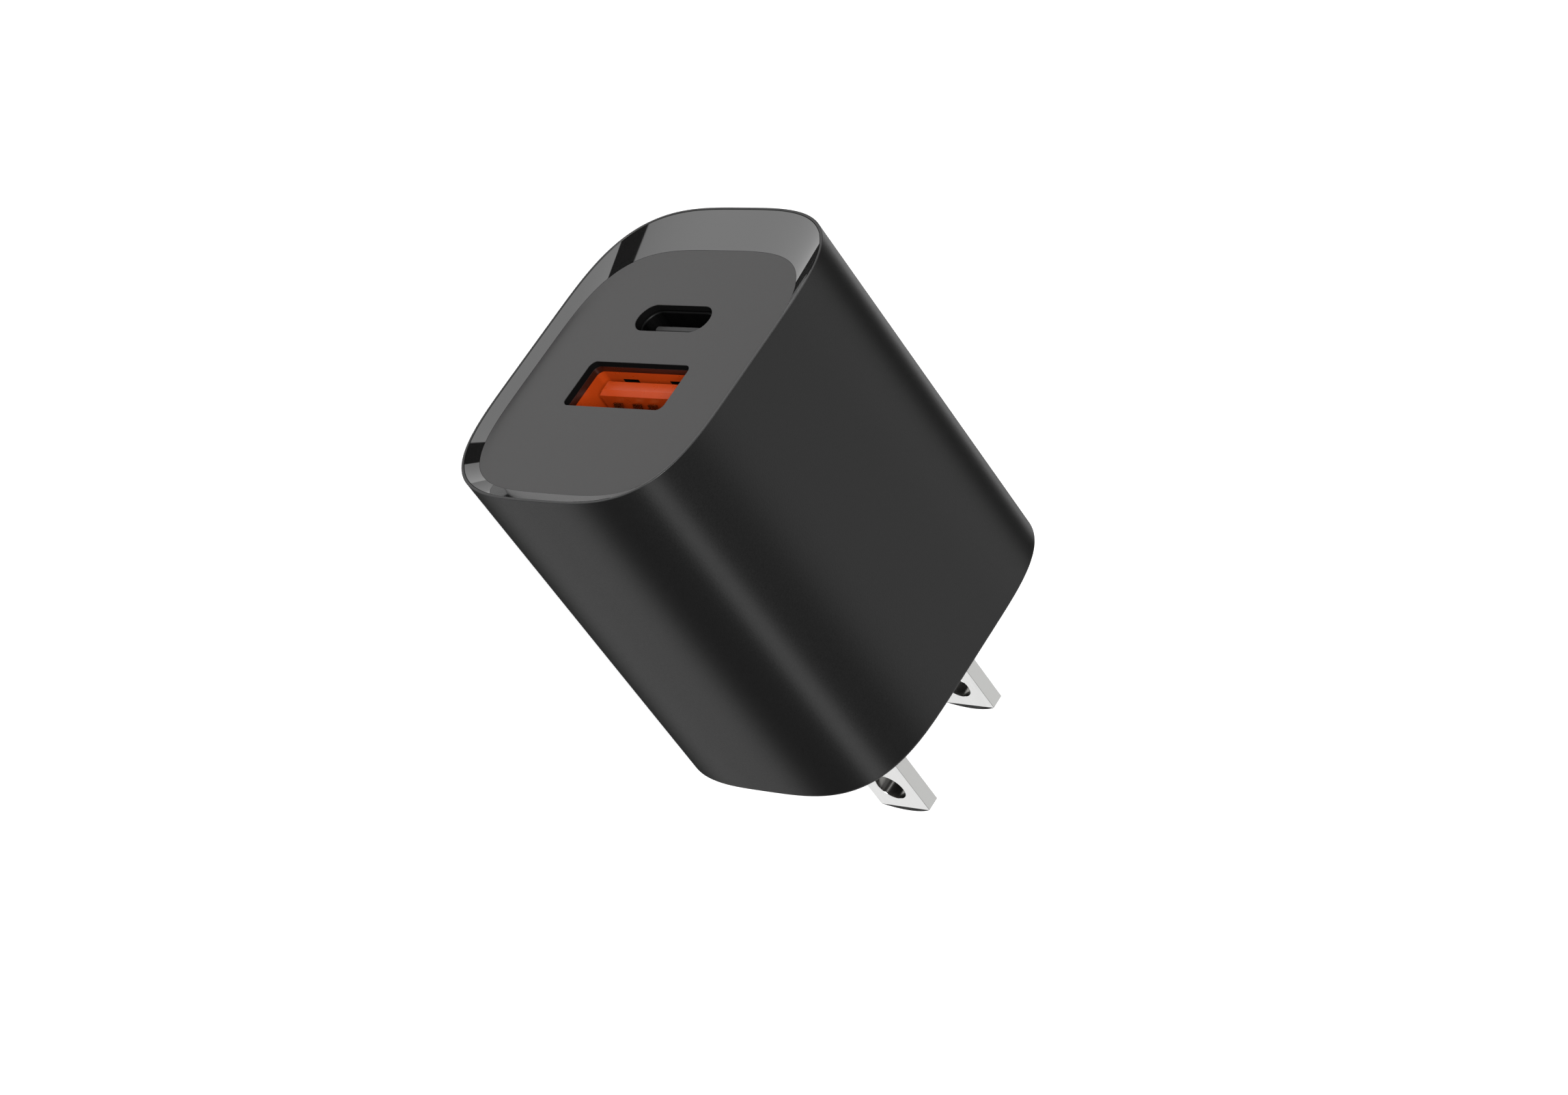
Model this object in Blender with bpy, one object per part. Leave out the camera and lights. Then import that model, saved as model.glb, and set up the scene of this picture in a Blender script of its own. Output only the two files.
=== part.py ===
"""A two-port USB wall charger with fixed flat blades, as the separate pieces that it comes apart into.

Metres, +Z up. The origin is the centre of the rear face, which lies against the wall. +Y points into
the wall, so the blades reach to +Y and the ports face -Y. The long side of both ports runs along Z.
"""

import math

import bmesh
import bpy
from mathutils import Matrix, Vector

MM = 0.001

# Housing: a deep cup with its mouth at the front
BODY_WIDTH = 35.9 * MM  # along X
BODY_HEIGHT = 29.1 * MM  # along Z
BODY_DEPTH = 40.25 * MM  # along Y, from the wall to the front rim
BODY_POWER = 3.4  # squareness of the rounded ends: 2 is an arc, and more is squarer
OUTLINE_STEPS = 14  # sides in a quarter of the outline
WALL = 1.9 * MM
REAR_WALL = 2.2 * MM
REAR_FILLET = 0.5 * MM
LIP = 0.3 * MM  # thickness of the rim around the glossy ring
LEDGE = 0.9 * MM  # thickness of the wall beside the panel's flange

# Clearances
FIT = 0.15 * MM  # between mouldings that locate each other
SEAT = 0.25 * MM  # between a piece and what carries it
FINE = 0.12 * MM  # at contacts and small trim

# Dished front
DISH_DEPTH = 0.8 * MM  # from the rim down to the panel's face
PANEL_INSET_X = 3.2 * MM
PANEL_INSET_Z = 1.2 * MM
PANEL_SHIFT = 1.5 * MM  # the panel lies towards the USB-A end
PANEL_POWER = 3.7
PANEL_THICKNESS = 1.1 * MM
PANEL_STEP = 0.4 * MM  # from the panel's face down to its flange

# Ports
USB_A_X = 3.35 * MM
USB_A_APERTURE = (5.33 * MM, 12.83 * MM)  # along X and Z
USB_A_CORNER = 0.55 * MM
USB_A_WALL = 0.78 * MM
USB_A_POCKET_DEPTH = 9.4 * MM
USB_A_SHIELD = 0.3 * MM
TONGUE_THICKNESS = 1.4 * MM
TONGUE_WIDTH = 11.1 * MM
TONGUE_GAP = 0.73 * MM  # from the tongue to the wall behind it
TONGUE_SETBACK = 1.8 * MM  # from the panel's face to the tongue's tip
TONGUE_CHAMFER = 0.35 * MM
CONTACT_PITCHES = (-3.5 * MM, -1.0 * MM, 1.0 * MM, 3.5 * MM)
CONTACT_WIDTH = 1.0 * MM
CONTACT_THICKNESS = 0.2 * MM
WINDOW_Z = 3.05 * MM
WINDOW_SIZE = (2.0 * MM, 2.4 * MM)  # along Z and Y
WINDOW_SETBACK = 2.15 * MM

USB_C_X = -4.82 * MM
USB_C_APERTURE = (3.16 * MM, 9.16 * MM)
USB_C_SHELL = (3.26 * MM, 8.94 * MM)
USB_C_SHELL_WALL = 0.33 * MM
USB_C_TONGUE = (0.7 * MM, 6.7 * MM)
USB_C_TONGUE_SETBACK = 1.4 * MM
USB_C_BASE_LENGTH = 6.0 * MM
APERTURE_WALL = 0.65 * MM  # panel left in front of each socket
SOCKET_LENGTH = 12.2 * MM

# Blades: a two-blade, ungrounded plug
BLADE_SPACING = 12.7 * MM
BLADE_WIDTH = 6.3 * MM
BLADE_THICKNESS = 1.5 * MM
BLADE_REACH = 16.1 * MM  # from the wall face to the tip
BLADE_TIP_RISE = 0.77 * MM
BLADE_TIP_BEVEL = 0.45 * MM
BLADE_HOLE_RADIUS = 1.65 * MM
BLADE_HOLE_Y = 12.4 * MM
BLADE_STUB = 0.5 * MM  # what comes out of the holder inside the housing
HOLDER_SIZE = (20.4 * MM, 2.8 * MM, 10.6 * MM)

# Boards
BOARD_THICKNESS = 1.0 * MM
BOARD_RISE = 3.05 * MM  # from the housing's floor to the underside of the main board
PORT_BOARD_HEIGHT = 20.4 * MM
RAIL_REACH = 1.2 * MM  # how far a rail comes in under the board
RAIL_THICKNESS = 1.2 * MM

# Transformer
CORE_LENGTH = 13.6 * MM  # along X, both halves
CORE_WIDTH = 15.6 * MM  # along Y
CORE_THICKNESS = 5.0 * MM
CORE_BACK = 2.6 * MM
CORE_OUTER_LEG = 2.4 * MM
CORE_CENTRE_LEG = 4.2 * MM
CORE_PLACE = (-6.4 * MM, 8.75 * MM, 7.6 * MM)  # its centre, from the main board's top at the front
BOBBIN_WALL = 0.6 * MM
BOBBIN_FLANGE = 0.7 * MM
BOBBIN_RISE = 5.6 * MM

# Bought-in components
INPUT_CAN = (3.8 * MM, 16.0 * MM)  # radius and length
OUTPUT_CAN = (3.15 * MM, 8.0 * MM)
SUPPLY_CAN = (2.0 * MM, 7.0 * MM)
INPUT_CAN_X = 4.9 * MM
SIDE_ROW_X = 11.3 * MM
OPTOCOUPLER_SIZE = (4.0 * MM, 4.6 * MM, 3.2 * MM)
DISC_RADIUS = 3.6 * MM
DISC_THICKNESS = 2.6 * MM
FUSE_RADIUS = 1.75 * MM
CHOKE_RADIUS = 1.5 * MM
CHOKE_X = 2.3 * MM

HALF_X, HALF_Z = BODY_WIDTH / 2, BODY_HEIGHT / 2
FRONT_Y = -BODY_DEPTH
PANEL_Y = FRONT_Y + DISH_DEPTH
PANEL_BACK_Y = PANEL_Y + PANEL_THICKNESS
FLANGE_Y = PANEL_Y + PANEL_STEP
SOCKET_FRONT_Y = PANEL_Y + APERTURE_WALL + FIT
SOCKET_REAR_Y = SOCKET_FRONT_Y + SOCKET_LENGTH
PORT_BOARD_Y = SOCKET_REAR_Y + SEAT
MAIN_BOARD_FRONT_Y = PORT_BOARD_Y + BOARD_THICKNESS + SEAT
HOLDER_REAR_Y = -REAR_WALL - SEAT
HOLDER_FRONT_Y = HOLDER_REAR_Y - HOLDER_SIZE[1]
MAIN_BOARD_REAR_Y = HOLDER_FRONT_Y - SEAT
BLADE_ROOT_Y = HOLDER_FRONT_Y - BLADE_STUB - SEAT
MAIN_BOARD_BOTTOM = -HALF_Z + WALL + BOARD_RISE
MAIN_BOARD_TOP = MAIN_BOARD_BOTTOM + BOARD_THICKNESS
BLADE_CENTRES = {"left": -BLADE_SPACING / 2, "right": BLADE_SPACING / 2}


def clear_scene():
    for obj in list(bpy.data.objects):
        bpy.data.objects.remove(obj)


def material(name, colour, roughness, metallic=0.0):
    made = bpy.data.materials.new(name)
    made.use_nodes = True
    shader = made.node_tree.nodes["Principled BSDF"]
    shader.inputs["Base Color"].default_value = (*colour, 1.0)
    shader.inputs["Roughness"].default_value = roughness
    shader.inputs["Metallic"].default_value = metallic
    made.diffuse_color = (*colour, 1.0)
    return made


def add_object(name, bm, finish):
    """Closes a bmesh into a named object with its faces pointing outwards."""
    bmesh.ops.remove_doubles(bm, verts=bm.verts, dist=1e-7)
    bmesh.ops.recalc_face_normals(bm, faces=bm.faces)
    mesh = bpy.data.meshes.new(name)
    bm.to_mesh(mesh)
    bm.free()
    mesh.shade_smooth()
    mesh.set_sharp_from_angle(angle=math.radians(35))
    mesh.materials.append(finish)
    obj = bpy.data.objects.new(name, mesh)
    bpy.context.scene.collection.objects.link(obj)
    return obj


def hide_helper(obj):
    obj.hide_render = True
    obj.display_type = "WIRE"


def combine(obj, helper, operation):
    """Cuts a helper shape out of an object, or joins it on."""
    hide_helper(helper)
    modifier = obj.modifiers.new(helper.name, "BOOLEAN")
    modifier.operation = operation
    modifier.solver = "EXACT"
    modifier.object = helper


def rounded_outline(half_x, half_z, power):
    """Points (x, z) round a rectangle whose ends are superellipse corners as tall as its half height."""
    radius = min(half_x, half_z)
    points = []
    for side_x, side_z, turn in ((1, 1, 0), (-1, 1, 1), (-1, -1, 2), (1, -1, 3)):
        for step in range(OUTLINE_STEPS + 1):
            angle = (turn + step / OUTLINE_STEPS) * math.pi / 2
            across, up = math.cos(angle), math.sin(angle)
            reach = radius / (abs(across) ** power + abs(up) ** power) ** (1 / power)
            x = side_x * (half_x - radius) + reach * across
            points.append((x, side_z * (half_z - radius) + reach * up))
    return points


def round_corner_outline(half_x, half_z, radius, steps=4):
    """Points (x, z) round a rectangle whose corners are arcs."""
    points = []
    for side_x, side_z, turn in ((1, 1, 0), (-1, 1, 1), (-1, -1, 2), (1, -1, 3)):
        for step in range(steps + 1):
            angle = (turn + step / steps) * math.pi / 2
            x = side_x * (half_x - radius) + radius * math.cos(angle)
            points.append((x, side_z * (half_z - radius) + radius * math.sin(angle)))
    return points


def body_outline(inset, y):
    """The housing's outline drawn in by an inset, at a depth y."""
    return [Vector((x, y, z)) for x, z in rounded_outline(HALF_X - inset, HALF_Z - inset, BODY_POWER)]


def cavity_half_width(z):
    """Half the width of the housing's inside at a height z."""
    radius = min(HALF_X, HALF_Z) - WALL
    rise = max(abs(z) - (HALF_Z - WALL - radius), 0.0) / radius
    return HALF_X - WALL - radius + radius * (1 - rise**BODY_POWER) ** (1 / BODY_POWER)


def main_board_half_width():
    return cavity_half_width(MAIN_BOARD_BOTTOM) - SEAT


def panel_outline(grow, y):
    """The outline of the panel's visible face, grown by a margin."""
    outline = rounded_outline(HALF_X - PANEL_INSET_X + grow, HALF_Z - PANEL_INSET_Z + grow, PANEL_POWER)
    return [Vector((x + PANEL_SHIFT, y, z)) for x, z in outline]


def socket_outline(size, corner, x, y, grow=0.0):
    """A socket's rounded opening or shell, centred on x, at a depth y."""
    half_x, half_z = size[0] / 2 + grow, size[1] / 2 + grow
    outline = round_corner_outline(half_x, half_z, min(corner + grow, half_x * 0.999))
    return [Vector((x + px, y, pz)) for px, pz in outline]


def lofted(loops, ring=False):
    """A skin over stacked loops of equal length. A ring's last loop joins its first; other ends are capped."""
    bm = bmesh.new()
    rows = [[bm.verts.new(point) for point in loop] for loop in loops]
    count = len(rows[0])
    pairs = list(zip(rows, rows[1:]))
    if ring:
        pairs.append((rows[-1], rows[0]))
    else:
        bm.faces.new(rows[0])
        bm.faces.new(rows[-1])
    for near, far in pairs:
        for i in range(count):
            j = (i + 1) % count
            bm.faces.new((near[i], near[j], far[j], far[i]))
    return bm


def block(low, high):
    """A box between two corners."""
    bm = bmesh.new()
    bmesh.ops.create_cube(bm, size=1.0)
    size = Vector(high) - Vector(low)
    middle = (Vector(high) + Vector(low)) / 2
    bmesh.ops.transform(bm, matrix=Matrix.Translation(middle) @ Matrix.Diagonal((*size, 1.0)), verts=bm.verts)
    return bm


def round_edges(bm, width, segments=2):
    edges = list(bm.edges)
    bmesh.ops.bevel(bm, geom=edges, offset=width, segments=segments, profile=0.5, affect="EDGES")
    return bm


def turned(profile, steps=24):
    """A closed solid turned about Z from a profile of (radius, height) that starts and ends on the axis."""
    bm = bmesh.new()
    points = [bm.verts.new((radius, 0, height)) for radius, height in profile]
    edges = [bm.edges.new(pair) for pair in zip(points, points[1:])]
    bmesh.ops.spin(
        bm, geom=points + edges, cent=(0, 0, 0), axis=(0, 0, 1), angle=math.tau, steps=steps, use_merge=True
    )
    return bm


def can_profile(radius, length):
    """An aluminium capacitor can: rolled edge at the top, crimped groove near the foot."""
    groove = 0.25 * MM
    edge = 0.4 * MM
    foot = 0.12 * length
    return [
        (0, 0), (radius - edge, 0), (radius, edge), (radius, foot), (radius - groove, foot + 2 * groove),
        (radius, foot + 4 * groove), (radius, length - edge), (radius - edge, length), (0, length),
    ]


def placed(bm, location, rotation=None):
    turn = rotation or Matrix.Identity(4)
    bmesh.ops.transform(bm, matrix=Matrix.Translation(location) @ turn, verts=bm.verts)
    return bm


def prism(points, axis, low, high):
    """Extrudes a flat outline, which is (y, z) along X and (x, y) along Z, between two values of that axis."""
    lay = (lambda p, w: Vector((w, p[0], p[1]))) if axis == "X" else (lambda p, w: Vector((p[0], p[1], w)))
    return lofted([[lay(p, low) for p in points], [lay(p, high) for p in points]])


def strip_outline(path, thickness):
    """The outline of a bent strip of sheet metal that follows a path of (y, z) or (y, x) points."""
    sides = ([], [])
    for i, point in enumerate(path):
        before = Vector(path[max(i - 1, 0)])
        after = Vector(path[min(i + 1, len(path) - 1)])
        along = (after - before).normalized()
        across = Vector((-along.y, along.x)) * thickness / 2
        sides[0].append(Vector(point) + across)
        sides[1].append(Vector(point) - across)
    return sides[0] + sides[1][::-1]


# Housing and front


def build_housing(finish):
    mouth = [
        (WALL, -REAR_WALL), (WALL, PANEL_BACK_Y + FIT), (LEDGE, PANEL_BACK_Y + FIT),
        (LEDGE, FLANGE_Y), (LIP, FLANGE_Y), (LIP, FRONT_Y), (0.0, FRONT_Y),
    ]
    loops = [body_outline(inset, y) for inset, y in mouth]
    for step in range(4):
        angle = step / 3 * math.pi / 2
        loops.append(body_outline(REAR_FILLET * (1 - math.cos(angle)), -REAR_FILLET * (1 - math.sin(angle))))
    housing = add_object("housing", lofted(loops), finish)
    rail_top = MAIN_BOARD_BOTTOM - SEAT
    for side, sign in (("left", -1), ("right", 1)):
        ends = (main_board_half_width() - RAIL_REACH, cavity_half_width(rail_top) + WALL / 3)
        low_x, high_x = sorted(sign * end for end in ends)
        low = (low_x, MAIN_BOARD_FRONT_Y, rail_top - RAIL_THICKNESS)
        rail = block(low, (high_x, -REAR_WALL / 2, rail_top))
        combine(housing, add_object(f"rail_{side}", rail, finish), "UNION")
    for side, x in BLADE_CENTRES.items():
        half = (BLADE_THICKNESS / 2 + FIT, BLADE_WIDTH / 2 + FIT)
        slot = block((x - half[0], -2 * REAR_WALL, -half[1]), (x + half[0], REAR_WALL, half[1]))
        combine(housing, add_object(f"blade_slot_{side}", slot, finish), "DIFFERENCE")


def build_front_bezel(finish):
    outer = LIP + FINE
    bottom = FLANGE_Y - FIT
    loops = [
        body_outline(outer, FRONT_Y + FINE / 4), body_outline(outer, bottom),
        panel_outline(FINE, bottom), panel_outline(FINE, PANEL_Y),
    ]
    add_object("front_bezel", lofted(loops, ring=True), finish)


def build_port_panel(finish):
    edge = LEDGE + FIT
    loops = [
        panel_outline(0.0, PANEL_Y), panel_outline(0.0, FLANGE_Y),
        body_outline(edge, FLANGE_Y), body_outline(edge, PANEL_BACK_Y),
    ]
    panel = add_object("port_panel", lofted(loops), finish)
    pocket_y = PANEL_Y + APERTURE_WALL
    for port, x, aperture, corner, pocket in (
        ("usb_a", USB_A_X, USB_A_APERTURE, USB_A_CORNER, usb_a_outer_size()),
        ("usb_c", USB_C_X, USB_C_APERTURE, USB_C_APERTURE[0] / 2, USB_C_SHELL),
    ):
        through = lofted([socket_outline(aperture, corner, x, y) for y in (PANEL_Y - MM, PANEL_BACK_Y + MM)])
        combine(panel, add_object(f"{port}_aperture", through, finish), "DIFFERENCE")
        seat = lofted([socket_outline(pocket, corner, x, y, FIT) for y in (pocket_y, PANEL_BACK_Y + MM)])
        combine(panel, add_object(f"{port}_seat", seat, finish), "DIFFERENCE")


# USB-A socket


def usb_a_outer_size():
    return tuple(side + 2 * USB_A_WALL for side in USB_A_APERTURE)


def tongue_side_x():
    """The face of the USB-A tongue that carries the contacts."""
    return USB_A_X - USB_A_APERTURE[0] / 2 + TONGUE_GAP + TONGUE_THICKNESS


def build_usb_a_body(finish):
    """A moulded cup with a tongue that stands up from its floor."""
    floor_y = SOCKET_FRONT_Y + USB_A_POCKET_DEPTH
    outer = usb_a_outer_size()
    loops = [
        socket_outline(USB_A_APERTURE, USB_A_CORNER, USB_A_X, floor_y),
        socket_outline(USB_A_APERTURE, USB_A_CORNER, USB_A_X, SOCKET_FRONT_Y),
        socket_outline(outer, USB_A_CORNER, USB_A_X, SOCKET_FRONT_Y),
        socket_outline(outer, USB_A_CORNER, USB_A_X, SOCKET_REAR_Y),
    ]
    body = add_object("usb_a_body", lofted(loops), finish)
    side_x = tongue_side_x()
    tip_y = PANEL_Y + TONGUE_SETBACK
    tip = socket_outline(
        (TONGUE_THICKNESS - TONGUE_CHAMFER, TONGUE_WIDTH - 2 * TONGUE_CHAMFER), 0.1 * MM,
        side_x - (TONGUE_THICKNESS + TONGUE_CHAMFER) / 2, tip_y,
    )
    shaft = [
        socket_outline((TONGUE_THICKNESS, TONGUE_WIDTH), 0.1 * MM, side_x - TONGUE_THICKNESS / 2, y)
        for y in (tip_y + TONGUE_CHAMFER, floor_y + MM)
    ]
    combine(body, add_object("usb_a_tongue", lofted([tip, *shaft]), finish), "UNION")
    wall_x = USB_A_X - USB_A_APERTURE[0] / 2
    window_y = PANEL_Y + WINDOW_SETBACK
    for number, z in enumerate((-WINDOW_Z, WINDOW_Z), 1):
        low = (wall_x - 2 * USB_A_WALL, window_y, z - WINDOW_SIZE[0] / 2)
        high = (wall_x + USB_A_WALL / 2, window_y + WINDOW_SIZE[1], z + WINDOW_SIZE[0] / 2)
        combine(body, add_object(f"usb_a_window_{number}", block(low, high), finish), "DIFFERENCE")
    slot_x = side_x + 2 * FINE + CONTACT_THICKNESS
    for number, z in enumerate(CONTACT_PITCHES, 1):
        half = CONTACT_WIDTH / 2 + FINE
        slot = block((side_x, floor_y - MM, z - half), (slot_x, SOCKET_REAR_Y + MM, z + half))
        combine(body, add_object(f"usb_a_contact_slot_{number}", slot, finish), "DIFFERENCE")


def build_usb_a_shield(finish):
    inner = usb_a_outer_size()
    outer = tuple(side + 2 * USB_A_SHIELD for side in inner)
    front_y = PANEL_BACK_Y + SEAT
    ends = (front_y, SOCKET_REAR_Y)
    loops = [socket_outline(inner, USB_A_CORNER, USB_A_X, y, FIT) for y in ends]
    loops += [socket_outline(outer, USB_A_CORNER, USB_A_X, y, FIT) for y in reversed(ends)]
    add_object("usb_a_shield", lofted(loops, ring=True), finish)


def build_usb_a_contacts(finish):
    """Four spring strips that lie along the tongue and pass through the socket's floor."""
    seat_x = tongue_side_x() + FINE + CONTACT_THICKNESS / 2
    start_y = PANEL_Y + TONGUE_SETBACK + 3 * TONGUE_CHAMFER
    crown = 0.3 * MM
    path = [
        (start_y, seat_x), (start_y + 0.8 * MM, seat_x + crown), (start_y + 2.0 * MM, seat_x + crown / 3),
        (start_y + 3.5 * MM, seat_x), (SOCKET_REAR_Y, seat_x),
    ]
    outline = [(point.y, point.x) for point in strip_outline(path, CONTACT_THICKNESS)]
    for number, z in enumerate(CONTACT_PITCHES, 1):
        strip = prism(outline, "Z", z - CONTACT_WIDTH / 2, z + CONTACT_WIDTH / 2)
        add_object(f"usb_a_contact_{number}", strip, finish)


# USB-C socket


def build_usb_c_shell(finish):
    inner = tuple(side - 2 * USB_C_SHELL_WALL for side in USB_C_SHELL)
    ends = (SOCKET_FRONT_Y, SOCKET_REAR_Y)
    loops = [socket_outline(inner, inner[0] / 2, USB_C_X, y) for y in ends]
    loops += [socket_outline(USB_C_SHELL, USB_C_SHELL[0] / 2, USB_C_X, y) for y in reversed(ends)]
    add_object("usb_c_shell", lofted(loops, ring=True), finish)


def build_usb_c_insulator(finish):
    """A base that fills the back of the shell, with the tongue that the plug slides over."""
    base = tuple(side - 2 * (USB_C_SHELL_WALL + FINE) for side in USB_C_SHELL)
    base_y = SOCKET_REAR_Y - USB_C_BASE_LENGTH
    corner = USB_C_TONGUE[0] / 2 * 0.6
    loops = [
        socket_outline(base, base[0] / 2, USB_C_X, SOCKET_REAR_Y),
        socket_outline(base, base[0] / 2, USB_C_X, base_y),
        socket_outline(USB_C_TONGUE, corner, USB_C_X, base_y),
        socket_outline(USB_C_TONGUE, corner, USB_C_X, PANEL_Y + USB_C_TONGUE_SETBACK),
    ]
    add_object("usb_c_insulator", lofted(loops), finish)


# Boards and what stands on them


def build_boards(finish):
    half_z = PORT_BOARD_HEIGHT / 2
    outline = round_corner_outline(cavity_half_width(half_z) - SEAT, half_z, 1.5 * MM, 3)
    faces = (PORT_BOARD_Y, PORT_BOARD_Y + BOARD_THICKNESS)
    add_object("port_board", lofted([[Vector((x, y, z)) for x, z in outline] for y in faces]), finish)
    half_x = main_board_half_width()
    low = (-half_x, MAIN_BOARD_FRONT_Y, MAIN_BOARD_BOTTOM)
    high = (half_x, MAIN_BOARD_REAR_Y, MAIN_BOARD_TOP)
    add_object("main_board", block(low, high), finish)


def add_chip(name, finish, size, middle, face, normal):
    """A moulded chip package on a board, whose surface lies at face along the normal's axis."""
    axis = max(range(3), key=lambda i: abs(normal[i]))
    low = [m - s / 2 for m, s in zip(middle, size)]
    high = [m + s / 2 for m, s in zip(middle, size)]
    near = face + SEAT * normal[axis]
    far = near + size[axis] * normal[axis]
    low[axis], high[axis] = min(near, far), max(near, far)
    add_object(name, round_edges(block(low, high), 0.12 * MM, 1), finish)


def disc_centre_y():
    """The Y capacitor is first in the row along the board's +X edge, with the optocoupler under it."""
    return MAIN_BOARD_FRONT_Y + SEAT + DISC_RADIUS


def supply_can_y():
    return disc_centre_y() + DISC_RADIUS + 2 * SEAT + SUPPLY_CAN[0]


def fuse_y():
    return supply_can_y() + SUPPLY_CAN[0] + 2 * SEAT + FUSE_RADIUS


def build_chips(finish):
    under, over = (0, 0, -1), (0, 0, 1)
    behind = MAIN_BOARD_FRONT_Y
    add_chip("bridge_rectifier", finish, (4.7 * MM, 3.9 * MM, 1.5 * MM),
             (7.5 * MM, behind + 13.5 * MM, 0), MAIN_BOARD_BOTTOM, under)
    add_chip("primary_switch_chip", finish, (5.0 * MM, 6.2 * MM, 1.6 * MM),
             (-1.0 * MM, behind + 11.0 * MM, 0), MAIN_BOARD_BOTTOM, under)
    add_chip("sync_rectifier_chip", finish, (4.9 * MM, 3.9 * MM, 1.5 * MM),
             (-7.0 * MM, behind + 4.0 * MM, 0), MAIN_BOARD_BOTTOM, under)
    add_chip("optocoupler", finish, OPTOCOUPLER_SIZE, (SIDE_ROW_X, disc_centre_y(), 0), MAIN_BOARD_TOP, over)
    add_chip("protocol_chip", finish, (4.0 * MM, 0.9 * MM, 4.0 * MM),
             (-10.0 * MM, 0, 0), PORT_BOARD_Y, (0, -1, 0))


def build_cans(finish):
    """Electrolytic capacitors: two at the mains side, two beside the sockets and one for the controller."""
    base_z = MAIN_BOARD_TOP + SEAT
    radius, length = INPUT_CAN
    spacing = 2 * radius + 0.5 * MM
    first_y = MAIN_BOARD_FRONT_Y + radius + SEAT
    for number in (1, 2):
        y = first_y + (number - 1) * spacing
        can = placed(turned(can_profile(radius, length)), (INPUT_CAN_X, y, base_z))
        add_object(f"input_capacitor_{number}", can, finish)
    radius, length = OUTPUT_CAN
    face_front = Matrix.Rotation(math.pi / 2, 4, "X")
    shield_edge = USB_A_X + usb_a_outer_size()[0] / 2 + USB_A_SHIELD + FIT
    for number, side in ((1, -1), (2, 1)):
        middle = (shield_edge + SEAT + radius, PORT_BOARD_Y - SEAT, side * (radius + SEAT))
        can = placed(turned(can_profile(radius, length), 20), middle, face_front)
        add_object(f"output_capacitor_{number}", can, finish)
    radius, length = SUPPLY_CAN
    can = placed(turned(can_profile(radius, length), 20), (SIDE_ROW_X, supply_can_y(), base_z))
    add_object("supply_capacitor", can, finish)


def build_fuse(finish):
    """A fusible resistor that stands on one of its end caps."""
    cap, cap_length, length = 0.15 * MM, 1.4 * MM, 8.6 * MM
    waist = FUSE_RADIUS - cap
    upper = length - cap_length
    profile = [(0, 0), (FUSE_RADIUS, 0), (FUSE_RADIUS, cap_length), (waist, cap_length),
               (waist, upper), (FUSE_RADIUS, upper), (FUSE_RADIUS, length), (0, length)]
    base = (SIDE_ROW_X, fuse_y(), MAIN_BOARD_TOP + SEAT)
    add_object("fuse", placed(turned(profile, 16), base), finish)


def build_y_capacitor(finish):
    """A lacquered ceramic disc on edge over the optocoupler, on two legs."""
    half, edge, leg = DISC_THICKNESS / 2, 0.5 * MM, 0.35 * MM
    profile = [(0, -half), (DISC_RADIUS - edge, -half), (DISC_RADIUS, -half + edge),
               (DISC_RADIUS, half - edge), (DISC_RADIUS - edge, half), (0, half)]
    base_z = MAIN_BOARD_TOP + SEAT
    centre = Vector((SIDE_ROW_X, disc_centre_y(), base_z + OPTOCOUPLER_SIZE[2] + SEAT + DISC_RADIUS))
    on_edge = Matrix.Rotation(math.pi / 2, 4, "Y")
    disc = add_object("y_capacitor", placed(turned(profile, 20), centre, on_edge), finish)
    for number, side in ((1, -1), (2, 1)):
        middle = centre.y + side * (DISC_RADIUS - leg)
        low = (centre.x - leg, middle - leg, base_z)
        high = (centre.x + leg, middle + leg, centre.z)
        combine(disc, add_object(f"y_capacitor_leg_{number}", block(low, high), finish), "UNION")


def build_input_choke(finish):
    """A drum core wound with enamelled wire."""
    waist, length, flange = CHOKE_RADIUS - 0.35 * MM, 6.0 * MM, 0.8 * MM
    profile = [(0, 0), (CHOKE_RADIUS, 0), (CHOKE_RADIUS, flange), (waist, flange), (waist, length - flange),
               (CHOKE_RADIUS, length - flange), (CHOKE_RADIUS, length), (0, length)]
    middle = (CHOKE_X, MAIN_BOARD_REAR_Y - SEAT - CHOKE_RADIUS, MAIN_BOARD_TOP + SEAT)
    add_object("input_choke", placed(turned(profile, 16), middle), finish)


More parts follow.
